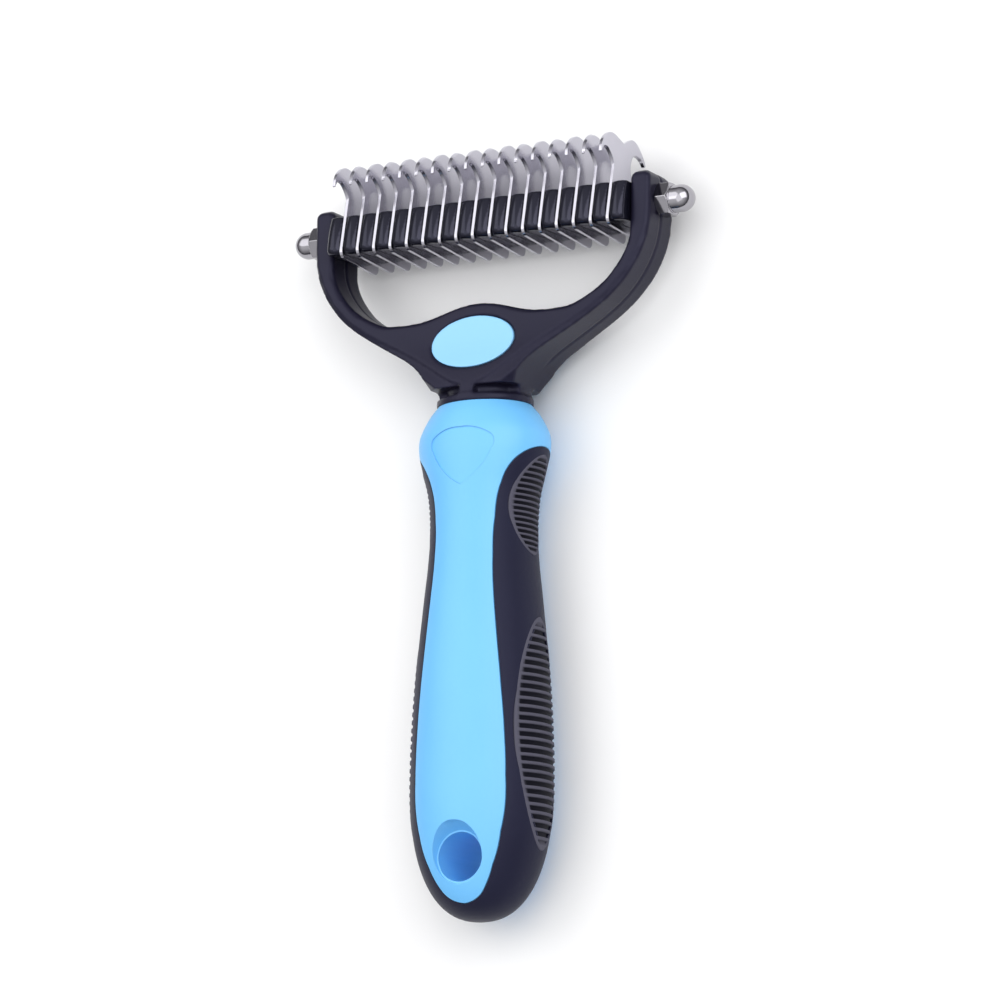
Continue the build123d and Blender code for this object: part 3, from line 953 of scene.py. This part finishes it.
@dataclass
class Fork:
    """Black moulded fork with its two sky blue oval inlays.

    Attributes:
        edges: Softening of the fork.
        badge_edges: Softening of the inlays, finer than the fork's.
        seam_depth: Depth of the parting seam, in metres.
        seam_half: Half width of the seam, in metres.
        arm_round: Radius of the corners at the arms' tops, in metres.
        collar_half_width: Half width of the oval collar, in metres.
        collar_half_depth: Half depth of the oval collar, in metres.
        neck_reach: Height over which the neck opens from the collar's oval, in metres.
        neck_flare: How much wider than the collar's oval the neck may be at that height.
        neck_power: How late in that height the neck opens.
        seam_faces: Shares of a sideways normal between which the seam comes in.
        seam_start: Distances below the rod's lowest point between which it comes in, in metres.
    """

    edges: SoftEdges = SoftEdges(0.00034, 5)
    badge_edges: SoftEdges = SoftEdges(0.00016, 5)
    seam_depth: float = 0.00028
    seam_half: float = 0.00032
    arm_round: float = 0.0022
    collar_half_width: float = 0.0113
    collar_half_depth: float = 0.0096
    neck_reach: float = 0.012
    neck_flare: float = 0.9
    neck_power: float = 1.6
    seam_faces: tuple[float, float] = (0.4, 0.8)
    seam_start: tuple[float, float] = (0.034, 0.030)

    def build(self) -> None:
        """Build the fork and both inlays."""
        fork = self.edges.copy("fork_yoke", "fork_yoke_moulded", self.round_corners)
        self.press_seam(fork)
        keep(fork, FORK, "fork_yoke")
        for face in ("front", "rear"):
            node = f"badge_oval_{face}"
            keep(self.badge_edges.copy(node, f"{node}_moulded", np.copy), BADGE, node)

    def round_corners(self, points: np.ndarray) -> np.ndarray:
        """Round the arms' tops, then the neck."""
        return self.round_neck(self.round_tops(points))

    def round_tops(self, points: np.ndarray) -> np.ndarray:
        """Draw in the corners at the tops of both arms, seen from the front.

        Args:
            points: Places of the fork's points.

        Returns:
            The moved places.
        """
        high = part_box("fork_yoke")[1]
        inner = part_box("end_spacer_right")[1].x
        middle, half = (high.x + inner) / 2, (high.x - inner) / 2
        rise = np.clip((points[:, 1] - (high.y - self.arm_round)) / self.arm_round, 0, 1)
        allowed = half - self.arm_round * (1 - np.sqrt(1 - rise**2))
        moved = points.copy()
        side = np.sign(points[:, 0])
        moved[:, 0] = side * (middle + (np.abs(points[:, 0]) - middle) * allowed / half)
        return moved

    def round_neck(self, points: np.ndarray) -> np.ndarray:
        """Draw the neck's square corners in to the collar's oval, and let them out with height.

        Args:
            points: Places of the fork's points.

        Returns:
            The moved places.
        """
        low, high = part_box("handle_core")
        axis = (low.z + high.z) / 2
        rise = np.clip((points[:, 1] - high.y) / self.neck_reach, 0, None)
        room = 1 + self.neck_flare * rise**self.neck_power
        lift = points[:, 2] - axis
        reach = np.hypot(points[:, 0] / self.collar_half_width, lift / self.collar_half_depth)
        inward = room / np.maximum(reach, room)
        draw = np.where((rise > 0) & (rise < 1), inward, 1)
        moved = points.copy()
        moved[:, 0] *= draw
        moved[:, 2] = axis + lift * draw
        return moved

    def press_seam(self, fork: bpy.types.Object) -> None:
        """Press the parting seam into the fork's side faces, at the rod's height.

        Args:
            fork: The fork's object.
        """
        low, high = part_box("blade_rod")
        height = (low.z + high.z) / 2
        points = np.empty(len(fork.data.vertices) * 3)
        normals = np.empty(len(fork.data.vertices) * 3)
        fork.data.vertices.foreach_get("co", points)
        fork.data.vertex_normals.foreach_get("vector", normals)
        points, normals = points.reshape(-1, 3), normals.reshape(-1, 3)
        share = np.exp(-(((points[:, 2] - height) / self.seam_half) ** 2))
        share *= smooth_step(1 - np.abs(normals[:, 2]), *self.seam_faces)
        share *= smooth_step(points[:, 1], *(low.y - below for below in self.seam_start))
        pressed = points - normals * self.seam_depth * share[:, None]
        fork.data.vertices.foreach_set("co", pressed.ravel())
        fork.data.update()


@dataclass
class BladeStack:
    """Blades, rod, pin and cap nuts, which keep their solid shapes, and crowned spacers.

    Attributes:
        spacer_edges: Softening of the spacers.
        crown: How far a spacer's front stands out at its middle, in metres.
        finishes: Finish for each start of a node's name; the first that fits is taken.
    """

    spacer_edges: SoftEdges = SoftEdges(0.00026, 5)
    crown: float = 0.0008
    finishes: dict[str, Finish] = field(
        default_factory=lambda: {
            "blade_rod": ROD, "key_pin": ROD, "blade_": BLADE, "cap_nut_": NUT,
        }
    )

    def build(self, nodes: dict[str, bpy.types.Object]) -> None:
        """Dress the steel nodes with their finishes and build a crowned copy of each spacer.

        Args:
            nodes: The frame's objects, by the names of their nodes.
        """
        for name in sorted(nodes):
            if "spacer_" in name:
                swell = partial(self.swell, name)
                keep(self.spacer_edges.copy(name, f"{name}_crowned", swell), SPACER, name)
            for start, finish in self.finishes.items():
                if name.startswith(start):
                    dress(nodes[name], finish)
                    LOG.info("%s: %s", name, finish.name)
                    break

    def swell(self, node: str, points: np.ndarray) -> np.ndarray:
        """Swell a spacer's front between its two flat sides.

        Args:
            node: Name of the spacer's solid node.
            points: Places of its points.

        Returns:
            The moved places.
        """
        low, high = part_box(node)
        across = (points[:, 0] - (low.x + high.x) / 2) / ((high.x - low.x) / 2)
        forward = smooth_step(points[:, 2], (low.z + high.z) / 2, high.z)
        moved = points.copy()
        moved[:, 2] += self.crown * forward * (1 - np.clip(across, -1, 1) ** 2)
        return moved


# ---------------------------------------------------------------- studio


@dataclass(frozen=True)
class Lamp:
    """One square soft lamp.

    Attributes:
        name: Lamp's name.
        place: Where it hangs, in metres.
        size: Side of the square, in metres.
        power: Watts.
    """

    name: str
    place: Place
    size: float
    power: float


@dataclass
class Studio:
    """Pale floor, soft lamps and the camera.

    Attributes:
        view_right: Unit direction in the scene that runs to the right of the view.
        view_up: Unit direction that runs up the view.
        aim: Point at the middle of the view, in metres.
        distance: Camera's distance from it, in metres.
        lens: Focal length, in millimetres.
        sensor: Width of the camera's sensor, in millimetres.
        clip: Nearest and farthest distance that the camera sees, in metres.
        floor_half: Half side of the floor, in metres.
        floor_thickness: Thickness of the floor, in metres.
        horizon: Place on the world's ramp, and grey-blue, of the darker light near the horizon.
        overhead: The same for the bright light overhead.
        lamps: The soft lamps.
    """

    view_right: Place = (0.8737023, 0.0085174, -0.4863864)
    view_up: Place = (0.0879787, 0.9805925, 0.1752090)
    aim: Place = (0.00275, 0.0076, 0.0112)
    distance: float = 1.2
    lens: float = 192.7
    sensor: float = 36.0
    clip: tuple[float, float] = (0.05, 20.0)
    floor_half: float = 3.0
    floor_thickness: float = 0.01
    horizon: tuple[float, Colour] = (0.1, (0.1, 0.1, 0.11))
    overhead: tuple[float, Colour] = (0.75, (0.88, 0.88, 0.89))
    lamps: tuple[Lamp, ...] = (
        Lamp("left_panel", (-0.45, 0.3, 0.7), 0.7, 1.7),
        Lamp("right_panel", (0.55, 0.25, 0.6), 0.7, 2.9),
        Lamp("top_panel", (0.05, -0.1, 0.9), 0.9, 1.9),
    )

    def build(self) -> None:
        """Lay the floor, hang the lamps and stand the camera."""
        self.floor()
        self.world()
        for lamp in self.lamps:
            self.hang(lamp)
        self.camera()
        bpy.context.scene.view_settings.view_transform = "Standard"

    def floor(self) -> None:
        """Plain pale floor under the comb, a thin slab well wider than the view."""
        half = self.floor_half
        square = ((-half, -half), (half, -half), (half, half), (-half, half))
        corners = [(x, y, z) for z in (-self.floor_thickness, 0.0) for x, y in square]
        faces = [(3, 2, 1, 0), (4, 5, 6, 7)]
        faces += [(i, (i + 1) % 4, (i + 1) % 4 + 4, i + 4) for i in range(4)]
        mesh = bpy.data.meshes.new("floor")
        mesh.from_pydata(corners, [], faces)
        floor = link_mesh("floor", mesh)
        dress(floor, PAPER)

    def world(self) -> None:
        """Soft room light: bright overhead and darker towards the horizon."""
        world = bpy.data.worlds.new("room")
        bpy.context.scene.world = world
        world.use_nodes = True
        tree = world.node_tree
        place = tree.nodes.new("ShaderNodeTexCoord")
        split = tree.nodes.new("ShaderNodeSeparateXYZ")
        ramp = tree.nodes.new("ShaderNodeValToRGB")
        tree.links.new(place.outputs["Generated"], split.inputs[0])
        tree.links.new(split.outputs["Z"], ramp.inputs["Fac"])
        tree.links.new(ramp.outputs["Color"], tree.nodes["Background"].inputs["Color"])
        for stop, (position, colour) in zip(
            ramp.color_ramp.elements, (self.horizon, self.overhead)
        ):
            stop.color = (*colour, 1.0)
            stop.position = position

    def hang(self, lamp: Lamp) -> None:
        """Hang one lamp so that it faces the comb.

        Args:
            lamp: The lamp to hang.
        """
        data = bpy.data.lights.new(lamp.name, "AREA")
        data.energy, data.size = lamp.power, lamp.size
        light = bpy.data.objects.new(lamp.name, data)
        bpy.context.scene.collection.objects.link(light)
        light.location = lamp.place
        towards = Vector(self.aim) - Vector(lamp.place)
        light.rotation_euler = towards.to_track_quat("-Z", "Y").to_euler()

    def camera(self) -> None:
        """Stand the camera and make it the scene's own."""
        right = Vector(self.view_right).normalized()
        back = right.cross(Vector(self.view_up)).normalized()
        up = back.cross(right)
        data = bpy.data.cameras.new("camera")
        data.lens, data.sensor_width = self.lens, self.sensor
        data.clip_start, data.clip_end = self.clip
        camera = bpy.data.objects.new("camera", data)
        bpy.context.scene.collection.objects.link(camera)
        turn = Matrix((right, up, back)).transposed().to_4x4()
        camera.matrix_world = Matrix.Translation(Vector(self.aim) + back * self.distance) @ turn
        bpy.context.scene.camera = camera


def main() -> None:
    """Build every sub-assembly round the frame, in order."""
    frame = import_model()
    Handle().build()
    Fork().build()
    BladeStack().build(frame["nodes"])
    Studio().build()


if __name__ == "__main__":
    logging.basicConfig(level=logging.INFO, format="%(message)s")
    main()
